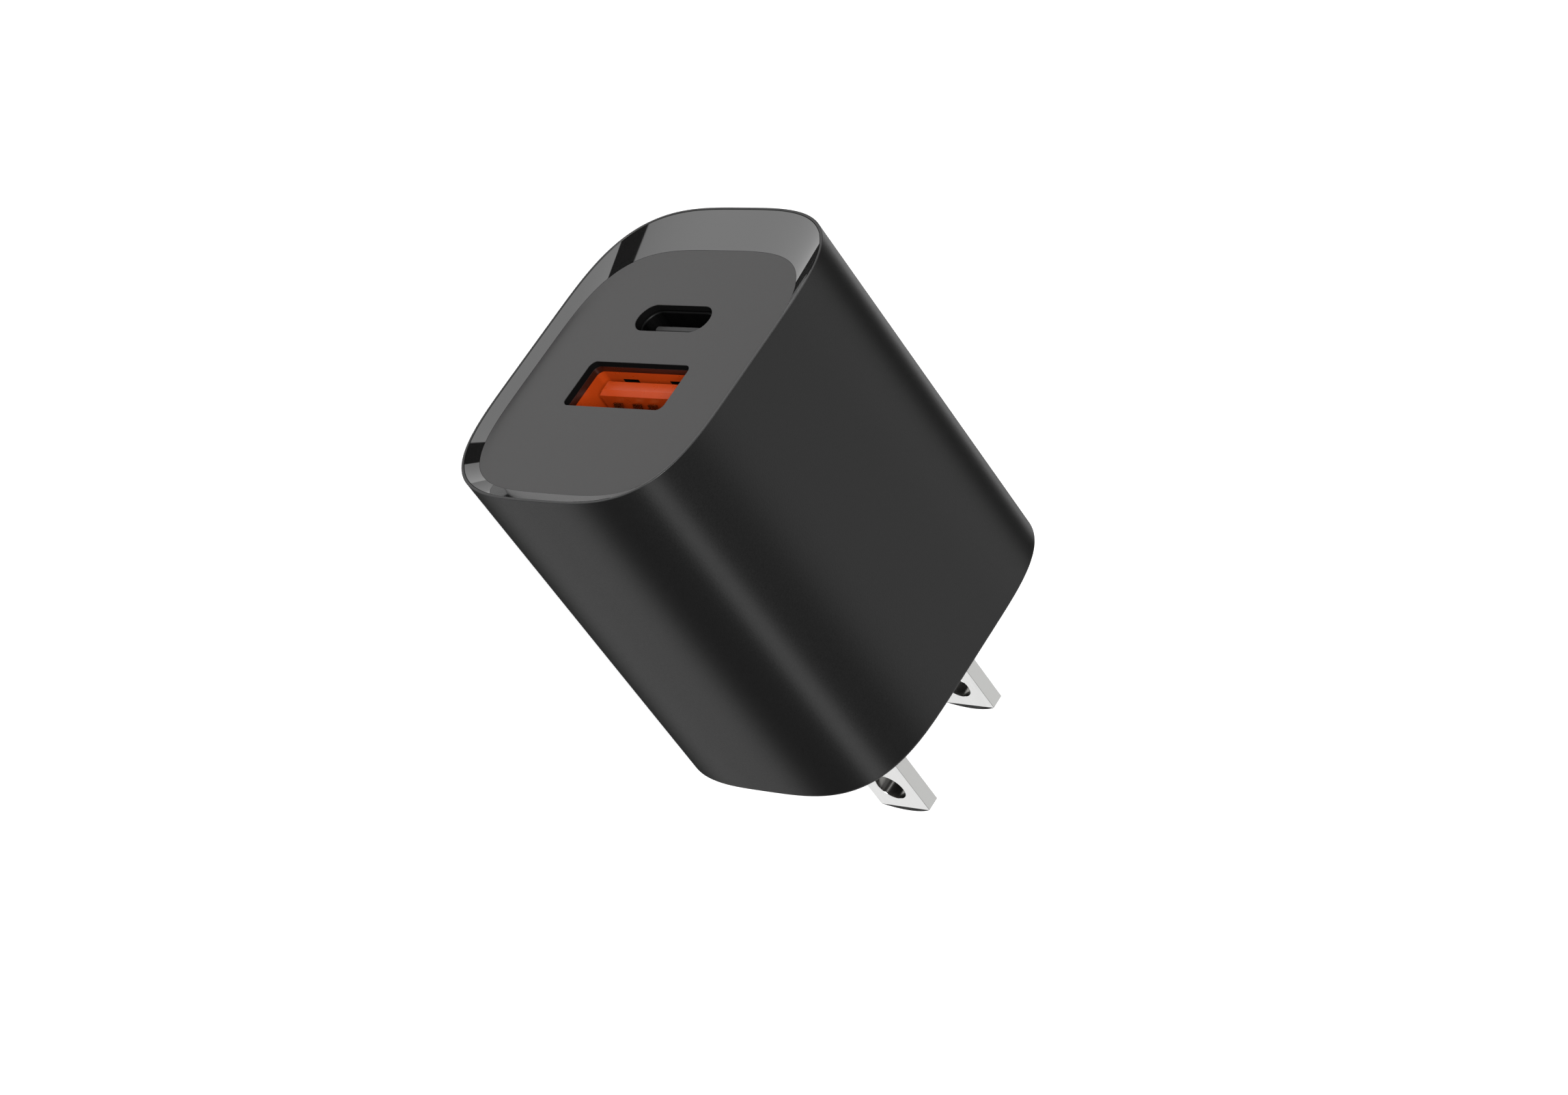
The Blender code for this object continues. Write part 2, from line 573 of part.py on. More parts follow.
def build_transformer(core_finish, bobbin_finish, winding_finish):
    cx, cy, cz = Vector((0, MAIN_BOARD_FRONT_Y, MAIN_BOARD_TOP)) + Vector(CORE_PLACE)
    half_y = CORE_WIDTH / 2
    half_z = CORE_THICKNESS / 2
    half_leg = CORE_CENTRE_LEG / 2
    window_y = half_y - CORE_OUTER_LEG
    for side, sign in (("left", -1), ("right", 1)):
        back, throat, tip = CORE_LENGTH / 2, CORE_LENGTH / 2 - CORE_BACK, FINE
        upper = [(back, half_y), (tip, half_y), (tip, window_y),
                 (throat, window_y), (throat, half_leg), (tip, half_leg)]
        outline = upper + [(x, -y) for x, y in reversed(upper)]
        half = prism([(cx + sign * x, cy + y) for x, y in outline], "Z", cz - half_z, cz + half_z)
        add_object(f"transformer_core_{side}", half, core_finish)

    def rectangle(x, y_reach, low, high):
        return [Vector((x, cy + y, z)) for y, z in
                ((-y_reach, low), (y_reach, low), (y_reach, high), (-y_reach, high))]

    bore_y, bore_z = half_leg + FIT, half_z + FIT
    tube_y, tube_z = bore_y + BOBBIN_WALL, bore_z + BOBBIN_WALL
    flange_y = window_y - FIT
    foot, top = MAIN_BOARD_TOP + SEAT, cz + BOBBIN_RISE
    end = CORE_LENGTH / 2 - CORE_BACK - FIT
    inner_end = end - BOBBIN_FLANGE
    bore = (bore_y, cz - bore_z, cz + bore_z)
    tube = (tube_y, cz - tube_z, cz + tube_z)
    flange = (flange_y, foot, top)
    stations = [(-end, bore), (-end, flange), (-inner_end, flange), (-inner_end, tube),
                (inner_end, tube), (inner_end, flange), (end, flange), (end, bore)]
    bobbin = [rectangle(cx + x, *shape) for x, shape in stations]
    add_object("transformer_bobbin", lofted(bobbin, ring=True), bobbin_finish)

    def wrap(x, reach_y, reach_z, radius):
        return [Vector((x, cy + y, cz + z)) for y, z in round_corner_outline(reach_y, reach_z, radius, 4)]

    coil_end = inner_end - FIT
    inner = (tube_y + FIT, tube_z + FIT, 0.1 * MM)
    outer = (flange_y - FIT, BOBBIN_RISE - 2 * FIT, 1.6 * MM)
    winding = [wrap(cx - coil_end, *inner), wrap(cx - coil_end, *outer),
               wrap(cx + coil_end, *outer), wrap(cx + coil_end, *inner)]
    add_object("transformer_winding", lofted(winding, ring=True), winding_finish)


def build_insulation_sheet(finish):
    """A sheet of insulating film on the housing's floor, under the mains side of the board."""
    floor = -(HALF_Z - WALL)
    low = (-7.0 * MM, MAIN_BOARD_FRONT_Y, floor + SEAT)
    high = (7.0 * MM, -REAR_WALL - MM, floor + SEAT + 0.3 * MM)
    add_object("insulation_sheet", block(low, high), finish)


# Plug


def build_blade_holder(finish):
    width, depth, height = HOLDER_SIZE
    solid = block((-width / 2, HOLDER_FRONT_Y, -height / 2), (width / 2, HOLDER_REAR_Y, height / 2))
    holder = add_object("blade_holder", round_edges(solid, 0.4 * MM), finish)
    for side, x in BLADE_CENTRES.items():
        half = (BLADE_THICKNESS / 2 + FIT, BLADE_WIDTH / 2 + FIT)
        low, high = HOLDER_FRONT_Y - depth, HOLDER_REAR_Y + depth
        slot = block((x - half[0], low, -half[1]), (x + half[0], high, half[1]))
        combine(holder, add_object(f"holder_slot_{side}", slot, finish), "DIFFERENCE")


def build_blades(finish):
    half_width = BLADE_WIDTH / 2
    radius = (half_width**2 + BLADE_TIP_RISE**2) / (2 * BLADE_TIP_RISE)
    spread = math.asin(half_width / radius)
    shoulder_y = BLADE_REACH - BLADE_TIP_RISE
    steps = 12
    arc = [
        (BLADE_REACH - radius + radius * math.cos(angle), radius * math.sin(angle))
        for angle in (spread * (1 - 2 * i / steps) for i in range(steps + 1))
    ]
    outline = [(BLADE_ROOT_Y, -half_width), (BLADE_ROOT_Y, half_width), *arc]
    for side, x in BLADE_CENTRES.items():
        half = BLADE_THICKNESS / 2
        bm = prism(outline, "X", x - half, x + half)
        bmesh.ops.recalc_face_normals(bm, faces=bm.faces)
        for sign in (-1, 1):
            geometry = [*bm.verts, *bm.edges, *bm.faces]
            cut = bmesh.ops.bisect_plane(
                bm, geom=geometry, dist=1e-8, clear_outer=True, plane_co=(x + sign * half, shoulder_y, 0),
                plane_no=(sign * BLADE_TIP_RISE, BLADE_TIP_BEVEL, 0),
            )
            edges = [item for item in cut["geom_cut"] if isinstance(item, bmesh.types.BMEdge)]
            bmesh.ops.edgeloop_fill(bm, edges=edges)
        blade = add_object(f"blade_{side}", bm, finish)
        reach = BLADE_THICKNESS
        hole = turned([(0, -reach), (BLADE_HOLE_RADIUS, -reach), (BLADE_HOLE_RADIUS, reach), (0, reach)], 32)
        placed(hole, (x, BLADE_HOLE_Y, 0), Matrix.Rotation(math.pi / 2, 4, "Y"))
        combine(blade, add_object(f"blade_hole_{side}", hole, finish), "DIFFERENCE")


def build_blade_contacts(finish):
    """Bowed brass strips that press on the blade roots and stand on the board."""
    thickness, width = 0.4 * MM, 3.0 * MM
    root_y = BLADE_ROOT_Y - SEAT - thickness / 2
    foot_z = MAIN_BOARD_TOP + SEAT
    path = [(root_y - 0.5 * MM, 2.6 * MM), (root_y, 1.0 * MM), (root_y, -1.0 * MM),
            (root_y - 0.5 * MM, -3.4 * MM), (root_y - 0.5 * MM, foot_z)]
    outline = [tuple(point) for point in strip_outline(path, thickness)]
    for side, x in BLADE_CENTRES.items():
        add_object(f"blade_contact_{side}", prism(outline, "X", x - width / 2, x + width / 2), finish)


clear_scene()

black_satin = material("black_satin_plastic", (0.012, 0.012, 0.012), 0.45)
black_gloss = material("black_gloss_plastic", (0.012, 0.012, 0.012), 0.08)
grey_satin = material("dark_grey_panel_plastic", (0.03, 0.03, 0.03), 0.35)
orange = material("orange_plastic", (0.62, 0.09, 0.01), 0.35)
black_insulator = material("black_socket_plastic", (0.01, 0.01, 0.01), 0.5)
steel = material("tinned_steel", (0.55, 0.55, 0.56), 0.3, 1.0)
gold = material("gold_plated_bronze", (0.8, 0.6, 0.25), 0.25, 1.0)
nickel = material("nickel_plated_brass", (0.75, 0.74, 0.72), 0.25, 1.0)
brass = material("spring_brass", (0.7, 0.5, 0.22), 0.35, 1.0)
board_green = material("circuit_board", (0.02, 0.16, 0.07), 0.45)
chip_black = material("chip_moulding", (0.015, 0.015, 0.015), 0.6)
can_sleeve = material("capacitor_can", (0.6, 0.6, 0.62), 0.35, 0.9)
ferrite = material("ferrite", (0.05, 0.05, 0.055), 0.55)
yellow_tape = material("winding_tape", (0.85, 0.6, 0.05), 0.4)
blue_lacquer = material("disc_lacquer", (0.05, 0.16, 0.5), 0.35)
fuse_ceramic = material("fuse_ceramic", (0.75, 0.72, 0.65), 0.4)
white_film = material("insulating_film", (0.85, 0.85, 0.82), 0.5)

build_housing(black_satin)
build_front_bezel(black_gloss)
build_port_panel(grey_satin)
build_usb_a_body(orange)
build_usb_a_shield(steel)
build_usb_a_contacts(gold)
build_usb_c_shell(steel)
build_usb_c_insulator(black_insulator)
build_boards(board_green)
build_chips(chip_black)
build_cans(can_sleeve)
build_fuse(fuse_ceramic)
build_y_capacitor(blue_lacquer)
build_input_choke(ferrite)
build_transformer(ferrite, black_insulator, yellow_tape)
build_insulation_sheet(white_film)
build_blade_holder(black_insulator)
build_blades(nickel)
build_blade_contacts(brass)
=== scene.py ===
"""The looks of a two-port USB wall charger with fixed flat blades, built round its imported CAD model.

Metres, +Z up. The wall is at y = 0, the blades point to +Y and the ports face -Y. The sections follow the
charger as it is put together: its shell, the plug, the two boards, the sockets, and the front that closes it.
"""

import math

import bmesh
import bpy
from mathutils import Matrix, Vector


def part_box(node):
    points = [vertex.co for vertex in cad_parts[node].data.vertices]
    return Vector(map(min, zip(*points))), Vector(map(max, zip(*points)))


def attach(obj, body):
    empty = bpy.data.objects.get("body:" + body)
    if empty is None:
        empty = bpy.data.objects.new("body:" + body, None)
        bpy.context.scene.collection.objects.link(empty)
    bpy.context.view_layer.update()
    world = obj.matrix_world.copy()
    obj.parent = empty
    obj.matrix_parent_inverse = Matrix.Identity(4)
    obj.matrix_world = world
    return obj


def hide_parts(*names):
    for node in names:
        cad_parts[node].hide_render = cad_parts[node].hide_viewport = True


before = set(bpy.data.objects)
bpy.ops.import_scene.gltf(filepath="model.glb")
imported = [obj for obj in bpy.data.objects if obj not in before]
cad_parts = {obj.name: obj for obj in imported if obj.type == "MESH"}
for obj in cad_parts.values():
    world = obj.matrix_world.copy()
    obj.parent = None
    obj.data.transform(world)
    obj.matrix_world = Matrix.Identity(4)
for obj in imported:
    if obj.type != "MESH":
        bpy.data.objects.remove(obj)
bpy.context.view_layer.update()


# ---------------------------------------------------------------- Housing
# A deep shell in one shot of black ABS and polycarbonate, with soft rectangular ends and a thin lip round its
# mouth. The mould is spark eroded outside, and the blades leave through two slots in the rear wall.

MM = 0.001
HOUSING_LOW, HOUSING_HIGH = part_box("housing")
HALF_X, HALF_Z = HOUSING_HIGH.x, HOUSING_HIGH.z
FRONT_Y, REAR_Y = HOUSING_LOW.y, HOUSING_HIGH.y
BODY_POWER = 3.4  # 2 would give the ends round corners, and more makes them squarer
OUTLINE_STEPS = 256
SMALL_STEPS = 64
WALL = 1.9 * MM
REAR_WALL = 2.2 * MM
LIP = 0.24 * MM
LIP_ROUND = 0.04 * MM
REAR_ROUND = 0.45 * MM
LEDGE = 0.9 * MM
JOINT_GAP = 0.15 * MM  # clearance behind a flange or round a socket
BLADE_GAP = 0.1 * MM  # clearance round a blade in its slot
SLOT_CORNER, SLOT_EDGE, SLOT_STEPS = 0.25 * MM, 0.12 * MM, 32
MERGE_WITHIN = 0.5e-6  # vertices nearer than this become one

PANEL_LOW, PANEL_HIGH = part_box("port_panel")
PANEL_Y, PANEL_BACK_Y = PANEL_LOW.y, PANEL_HIGH.y
FLANGE_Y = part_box("front_bezel")[1].y + JOINT_GAP

BLADE_LOW, BLADE_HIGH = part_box("blade_right")
BLADE_X = (BLADE_LOW.x + BLADE_HIGH.x) / 2
BLADE_THICKNESS, BLADE_WIDTH = BLADE_HIGH.x - BLADE_LOW.x, BLADE_HIGH.z - BLADE_LOW.z


def linear(hex_colour):
    """The linear colour, with alpha, of an sRGB hex value."""
    channels = [int(hex_colour[i : i + 2], 16) / 255 for i in (0, 2, 4)]
    return (*(c / 12.92 if c <= 0.04045 else ((c + 0.055) / 1.055) ** 2.4 for c in channels), 1.0)


def surface(name, **sockets):
    """A new material and its Principled shader, whose sockets are given by name with _ for a space."""
    made = bpy.data.materials.new(name)
    made.use_nodes = True
    shader = made.node_tree.nodes["Principled BSDF"]
    for socket, value in sockets.items():
        shader.inputs[socket.replace("_", " ")].default_value = value
    return made, shader


def add_node(tree, kind, inputs, **settings):
    """Adds a node. Its inputs are values or other nodes' output sockets, by name or number."""
    node = tree.nodes.new(kind)
    for name, value in settings.items():
        setattr(node, name, value)
    for name, value in inputs.items():
        if isinstance(value, bpy.types.NodeSocket):
            tree.links.new(value, node.inputs[name])
        else:
            node.inputs[name].default_value = value
    return node


def place_of(tree, stretch=(1, 1, 1)):
    """The piece's own coordinates, stretched along its axes."""
    place = add_node(tree, "ShaderNodeTexCoord", {}).outputs["Object"]
    return add_node(tree, "ShaderNodeMapping", {"Vector": place, "Scale": stretch}).outputs["Vector"]


def grain(shader, size, height, roughness, spread, stretch=(1, 1, 1)):
    """Gives a surface bumps of a size and a height, and a roughness that varies by a spread with them."""
    tree = shader.id_data
    noise = add_node(
        tree, "ShaderNodeTexNoise", {"Vector": place_of(tree, stretch), "Scale": 1 / size, "Detail": 3.0}
    )
    bump = add_node(
        tree, "ShaderNodeBump", {"Height": noise.outputs["Fac"], "Strength": 1.0, "Distance": height}
    )
    tree.links.new(bump.outputs["Normal"], shader.inputs["Normal"])
    vary = add_node(
        tree, "ShaderNodeMapRange",
        {"Value": noise.outputs["Fac"], "From Min": 0.3, "From Max": 0.7,
         "To Min": roughness - spread, "To Max": roughness + spread},
    )
    tree.links.new(vary.outputs["Result"], shader.inputs["Roughness"])


def rounded(half_x, half_z, power=2.0, corner=None, centre_x=0.0):
    """Gives the place (x, z) at an angle round a rectangle, whose corners are arcs at a power of 2."""
    radius = corner or min(half_x, half_z)

    def place(angle):
        across, up = math.cos(angle), math.sin(angle)
        reach = radius / (abs(across) ** power + abs(up) ** power) ** (1 / power)
        x = math.copysign(half_x - radius, across) + reach * across
        return centre_x + x, math.copysign(half_z - radius, up) + reach * up

    return place


def tube(bm, stations, steps=OUTLINE_STEPS):
    """Draws a loop of edges through stations of (y, outline), and gives its first and its last loop."""
    turn = bm.verts.layers.float.get("turn") or bm.verts.layers.float.new("turn")
    half_step = Matrix.Rotation(math.pi / steps, 4, "Z")
    verts = bmesh.ops.create_circle(bm, segments=steps, radius=1.0, matrix=half_step)["verts"]
    for vert in verts:
        vert[turn] = math.atan2(vert.co.y, vert.co.x)
    loops = [list(dict.fromkeys(edge for vert in verts for edge in vert.link_edges))]
    for number, (y, outline) in enumerate(stations):
        if number:
            drawn = bmesh.ops.extrude_edge_only(bm, edges=loops[-1])["geom"]
            verts = {item for item in drawn if isinstance(item, bmesh.types.BMVert)}
            edges = [item for item in drawn if isinstance(item, bmesh.types.BMEdge)]
            loops.append([edge for edge in edges if verts.issuperset(edge.verts)])
        for vert in verts:
            x, z = outline(vert[turn])
            vert.co = (x, y, z)
    return loops[0], loops[-1]


def grown(stations, half_x, half_z, corner, centre_x):
    """Stations for a tube, from stations of (y, margin) round one rectangle with rounded corners."""
    return [
        (y, rounded(half_x + margin, half_z + margin, corner=corner + margin, centre_x=centre_x))
        for y, margin in stations
    ]


def fill(bm, *loops):
    """Fills the flat area inside the first loop, and leaves out what is inside the others."""
    bmesh.ops.triangle_fill(bm, use_beauty=True, edges=[edge for edges in loops for edge in edges])


def quarter(centre, radius, start, steps=4):
    """Points on a quarter circle about a centre in a profile of (inset, y), from a start in quarter turns."""
    turns = [(start + i / steps) * math.pi / 2 for i in range(steps + 1)]
    return [(centre[0] + radius * math.cos(turn), centre[1] + radius * math.sin(turn)) for turn in turns]


def body(inset):
    """The outline of the shell's end, or of one that lies inside it by an inset."""
    return rounded(HALF_X - inset, HALF_Z - inset, BODY_POWER)


def make_piece(name, bm, material, slot, *replaced, sharp=30):
    """Turns a bmesh into a piece that rides on the charger and stands for CAD nodes."""
    bmesh.ops.remove_doubles(bm, verts=bm.verts, dist=MERGE_WITHIN)
    bmesh.ops.recalc_face_normals(bm, faces=bm.faces)
    mesh = bpy.data.meshes.new(name)
    bm.to_mesh(mesh)
    bm.free()
    if "turn" in mesh.attributes:
        mesh.attributes.remove(mesh.attributes["turn"])
    mesh.shade_smooth()
    mesh.set_sharp_from_angle(angle=math.radians(sharp))
    mesh.materials.append(material)
    piece = bpy.data.objects.new(name, mesh)
    bpy.context.scene.collection.objects.link(piece)
    flats = piece.modifiers.new("flat faces stay flat", "WEIGHTED_NORMAL")
    flats.keep_sharp = True
    for node in replaced:
        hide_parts(node)
    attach(piece, "root")
    return piece


# Spark-eroded ABS: near black, with a satin grain fine enough to read as a soft broken sheen.
satin_black, shader = surface("spark eroded black ABS", Base_Color=linear("0B0B0B"), IOR=1.5)
grain(shader, size=0.16 * MM, height=0.006 * MM, roughness=0.36, spread=0.03)

bm = bmesh.new()
ledge_y = PANEL_BACK_Y + JOINT_GAP
profile = [(WALL, -REAR_WALL), (WALL, ledge_y), (LEDGE, ledge_y), (LEDGE, FLANGE_Y), (LIP, FLANGE_Y)]
profile += quarter((LIP - LIP_ROUND, FRONT_Y + LIP_ROUND), LIP_ROUND, -1)[::-1]
profile += quarter((LIP_ROUND, FRONT_Y + LIP_ROUND), LIP_ROUND, -2)[::-1]
profile += quarter((REAR_ROUND, REAR_Y - REAR_ROUND), REAR_ROUND, 1, 6)[::-1]
inner_wall, outer_wall = tube(bm, [(y, body(inset)) for inset, y in profile])
slot = [(-REAR_WALL, BLADE_GAP), (REAR_Y - SLOT_EDGE, BLADE_GAP), (REAR_Y, BLADE_GAP + SLOT_EDGE)]
slot_ends = [
    tube(bm, grown(slot, BLADE_THICKNESS / 2, BLADE_WIDTH / 2, SLOT_CORNER, side * BLADE_X), SLOT_STEPS)
    for side in (-1, 1)
]
fill(bm, inner_wall, *(inner for inner, _ in slot_ends))
fill(bm, outer_wall, *(outer for _, outer in slot_ends))
make_piece("housing_shell", bm, satin_black, "housing_plastic", "housing")


# ---------------------------------------------------------------- Plug blades
# Two brass blades, stamped with a round hole and an arched tip that is coined to a bevel, then nickel plated.
# They are pressed through a black holder behind the rear wall.

BLADE_TIP_Y = BLADE_HIGH.y
BLADE_TIP_RISE, BLADE_TIP_BEVEL = 0.77 * MM, 0.17 * MM
BLADE_HOLE_Y, BLADE_HOLE_RADIUS = 12.4 * MM, 1.65 * MM
BLADE_EDGE = 0.02 * MM
ARCH_CUTS = 12  # on each side of the middle


def block(bm, low, high, width=0.0, segments=2):
    """Adds a box between two corners, with its edges rounded by a width."""
    low, high = Vector(low), Vector(high)
    turn = Matrix.Translation((low + high) / 2) @ Matrix.Diagonal((*(high - low), 1.0))
    verts = bmesh.ops.create_cube(bm, size=1.0, matrix=turn)["verts"]
    if width:
        edges = list(dict.fromkeys(edge for vert in verts for edge in vert.link_edges))
        soften(bm, edges, width, segments)


def soften(bm, edges, width, segments=2):
    """Rounds edges by a width, or chamfers them with one segment."""
    bmesh.ops.bevel(
        bm, geom=edges, offset=width, offset_type="OFFSET", segments=segments, profile=0.5,
        affect="EDGES", material=-1, clamp_overlap=True,
    )


def trim(bm, place, normal):
    """Cuts off what lies beyond a plane, and closes the face that it leaves."""
    cut_geom = bmesh.ops.bisect_plane(
        bm, geom=[*bm.verts, *bm.edges, *bm.faces], dist=1e-8,
        clear_outer=True, plane_co=place, plane_no=normal,
    )["geom_cut"]
    bmesh.ops.edgeloop_fill(bm, edges=[item for item in cut_geom if isinstance(item, bmesh.types.BMEdge)])


def cut(piece_bm, cutter_bm, operation="DIFFERENCE"):
    """Cuts one bmesh out of another, or joins it on, and gives the result as a new bmesh."""
    pair = []
    for bm in (piece_bm, cutter_bm):
        bmesh.ops.remove_doubles(bm, verts=bm.verts, dist=MERGE_WITHIN)
        bmesh.ops.recalc_face_normals(bm, faces=bm.faces)
        mesh = bpy.data.meshes.new("cut")
        bm.to_mesh(mesh)
        bm.free()
        pair.append(bpy.data.objects.new("cut", mesh))
        bpy.context.scene.collection.objects.link(pair[-1])
    boolean = pair[0].modifiers.new("cut", "BOOLEAN")
    boolean.object, boolean.operation, boolean.solver = pair[1], operation, "EXACT"
    made = bmesh.new()
    made.from_object(pair[0], bpy.context.evaluated_depsgraph_get())
    for used in pair:
        bpy.data.objects.remove(used)
    return made


# Bright nickel plate: a pale metal with faint rolling lines along the blade.
nickel, shader = surface("bright nickel plate", Base_Color=linear("FDFDFC"), Metallic=1.0)
grain(shader, size=0.12 * MM, height=0.0005 * MM, roughness=0.12, spread=0.03, stretch=(1, 0.06, 1))

# The sheared edges are rougher than the rolled faces, and their nickel is coloured a little darker: painted
# shade on the narrow edges. The wall of the hole is coloured grey: painted shade down the hole.
sheared, _ = surface(
    "sheared nickel edge with painted shade", Base_Color=linear("E2E2E0"), Metallic=1.0, Roughness=0.25
)
punched, _ = surface("painted shade in a punched hole", Base_Color=linear("8C8B88"), Metallic=1.0, Roughness=0.2)

half_z = BLADE_WIDTH / 2
arch_radius = (half_z**2 + BLADE_TIP_RISE**2) / (2 * BLADE_TIP_RISE)
arch_spread = math.asin(half_z / arch_radius)
for side, name in ((-1, "left"), (1, "right")):
    low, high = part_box(f"blade_{name}")
    bm = bmesh.new()
    block(bm, low, high)
    for i in range(-ARCH_CUTS, ARCH_CUTS + 1):
        turn = arch_spread * i / ARCH_CUTS
        out = Vector((0, math.cos(turn), math.sin(turn)))
        trim(bm, Vector((0, BLADE_TIP_Y - arch_radius, 0)) + arch_radius * out, out)
    for face_x, out in ((low.x, -1), (high.x, 1)):
        trim(bm, (face_x, BLADE_TIP_Y - BLADE_TIP_RISE, 0), (out * BLADE_TIP_RISE, BLADE_TIP_BEVEL, 0))
    punch = bmesh.new()
    across = Matrix.Translation((side * BLADE_X, BLADE_HOLE_Y, 0)) @ Matrix.Rotation(math.pi / 2, 4, "Y")
    bmesh.ops.create_cone(
        punch, cap_ends=True, segments=96, radius1=BLADE_HOLE_RADIUS, radius2=BLADE_HOLE_RADIUS,
        depth=3 * BLADE_THICKNESS, matrix=across,
    )
    bm = cut(bm, punch)
    corners = [edge for edge in bm.edges if len(edge.link_faces) == 2 and edge.calc_face_angle() > 0.5]
    soften(bm, corners, BLADE_EDGE)
    blade = make_piece(f"plated_blade_{name}", bm, nickel, "blade_nickel", f"blade_{name}", sharp=10)
    blade.data.materials.append(sheared)
    blade.data.materials.append(punched)
    # Painted shade: the wall of the hole takes the grey, and the narrow edges take the darker nickel.
    for face in blade.data.polygons:
        from_hole = math.hypot(face.center.y - BLADE_HOLE_Y, face.center.z)
        if from_hole < BLADE_HOLE_RADIUS and abs(face.normal.x) < 0.5:
            face.material_index = 2
        elif abs(face.normal.z) > 0.9:
            face.material_index = 1


# ---------------------------------------------------------------- Blade holder and spring contacts
# A black PBT bar grips the blades' roots. Two stamped brass springs press on the roots and carry the mains down
# to the board.


def dress(material, *nodes):
    """Puts a material on CAD nodes, whose shapes stay as they are."""
    for node in nodes:
        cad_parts[node].material_slots[0].material = material


# Glass-filled PBT: black, with a dry and slightly mottled gloss.
black_pbt, shader = surface("black glass-filled PBT", Base_Color=linear("151515"), IOR=1.55)
grain(shader, size=0.4 * MM, height=0.003 * MM, roughness=0.4, spread=0.08)
dress(black_pbt, "blade_holder")
# Spring brass: yellow, with rolling marks down the strip.
brass, shader = surface("rolled spring brass", Base_Color=linear("C9A552"), Metallic=1.0)
grain(shader, size=0.15 * MM, height=0.001 * MM, roughness=0.28, spread=0.07, stretch=(1, 1, 0.08))
dress(brass, "blade_contact_left", "blade_contact_right")


# ---------------------------------------------------------------- Circuit boards
# Two glass-epoxy boards under green solder mask. The port board stands across the sockets' tails, and the main
# board lies along the shell with its parts on both faces.

TRACK_PITCH = 0.9 * MM


def two_tone(shader, share, first, second):
    """Gives a shader a mix of two colours, with a share of the second."""
    tree = shader.id_data
    tint = add_node(tree, "ShaderNodeMix", {0: share, 6: linear(first), 7: linear(second)}, data_type="RGBA")
    tree.links.new(tint.outputs[2], shader.inputs["Base Color"])


# Green solder mask: a clear gloss over copper tracks, which show as paler bands beneath it.
mask_green, shader = surface("green solder mask over copper", IOR=1.5, Coat_Weight=0.3, Coat_Roughness=0.1)
tree = mask_green.node_tree
tracks = add_node(
    tree, "ShaderNodeTexVoronoi",
    {"Vector": place_of(tree), "Scale": 1 / (3 * TRACK_PITCH), "Randomness": 0.9},
    distance="MANHATTAN", feature="F1",
)
lines = add_node(tree, "ShaderNodeMath", {0: tracks.outputs["Distance"], 1: 0.22}, operation="PINGPONG")
on_track = add_node(tree, "ShaderNodeMath", {0: lines.outputs["Value"], 1: 0.12}, operation="GREATER_THAN")
two_tone(shader, on_track.outputs["Value"], "0B4A2A", "1C7040")
grain(shader, size=0.5 * MM, height=0.002 * MM, roughness=0.25, spread=0.05)
dress(mask_green, "main_board", "port_board")


# ---------------------------------------------------------------- Transformer
# A pair of grey ferrite cores clamped round a moulded bobbin, whose copper winding is wrapped in yellow
# polyester tape.

TAPE_WIDTH = 2.1 * MM
WAVES_PER_METRE = 0.31831  # the wave texture's scale that gives one band in a metre

# Sintered ferrite: charcoal with a fine ground sparkle.
ferrite, shader = surface("ground sintered ferrite", Base_Color=linear("3B3B3C"), IOR=1.9)
grain(shader, size=0.12 * MM, height=0.004 * MM, roughness=0.5, spread=0.12)
dress(ferrite, "transformer_core_left", "transformer_core_right", "input_choke")
dress(black_pbt, "transformer_bobbin")
# Polyester tape: amber yellow, with a darker line where each turn overlaps the last.
tape, shader = surface("yellow polyester tape", IOR=1.5)
tree = tape.node_tree
turns = add_node(
    tree, "ShaderNodeTexWave",
    {"Vector": place_of(tree), "Scale": WAVES_PER_METRE / TAPE_WIDTH, "Distortion": 0.4},
    bands_direction="Z", wave_profile="SAW",
)
edge = add_node(tree, "ShaderNodeMath", {0: turns.outputs["Fac"], 1: 0.93}, operation="GREATER_THAN")
two_tone(shader, edge.outputs["Value"], "D9A21B", "9C6D10")
grain(shader, size=0.8 * MM, height=0.004 * MM, roughness=0.25, spread=0.05)
dress(tape, "transformer_winding")


# ---------------------------------------------------------------- Electrolytic capacitors
# Deep-drawn aluminium cans in a dark green shrink sleeve. Each is necked over its rubber bung, and its bare end
# is scored with a vent.

SLEEVE = 0.14 * MM
NECK_FROM, NECK_TO, NECK_DEPTH = 1.0 * MM, 1.5 * MM, 0.22 * MM
NECK_SLOPE = 0.2 * MM
SLEEVE_LAP = 0.7 * MM  # how far the sleeve turns in over the bare end
VENT_WIDTH, VENT_DEPTH, VENT_REACH = 0.16 * MM, 0.06 * MM, 0.55  # the reach is a share of the can's radius

# Shrink sleeve: a dark green film with a shallow orange-peel gloss.
sleeve_green, shader = surface("dark green shrink sleeve", Base_Color=linear("16352B"), IOR=1.5)
grain(shader, size=0.9 * MM, height=0.006 * MM, roughness=0.22, spread=0.05)
# Drawn aluminium: bright, with a fine directional draw.
aluminium, shader = surface("drawn aluminium", Base_Color=linear("D5D6D8"), Metallic=1.0)
grain(shader, size=0.1 * MM, height=0.0008 * MM, roughness=0.25, spread=0.06, stretch=(1, 0.2, 1))


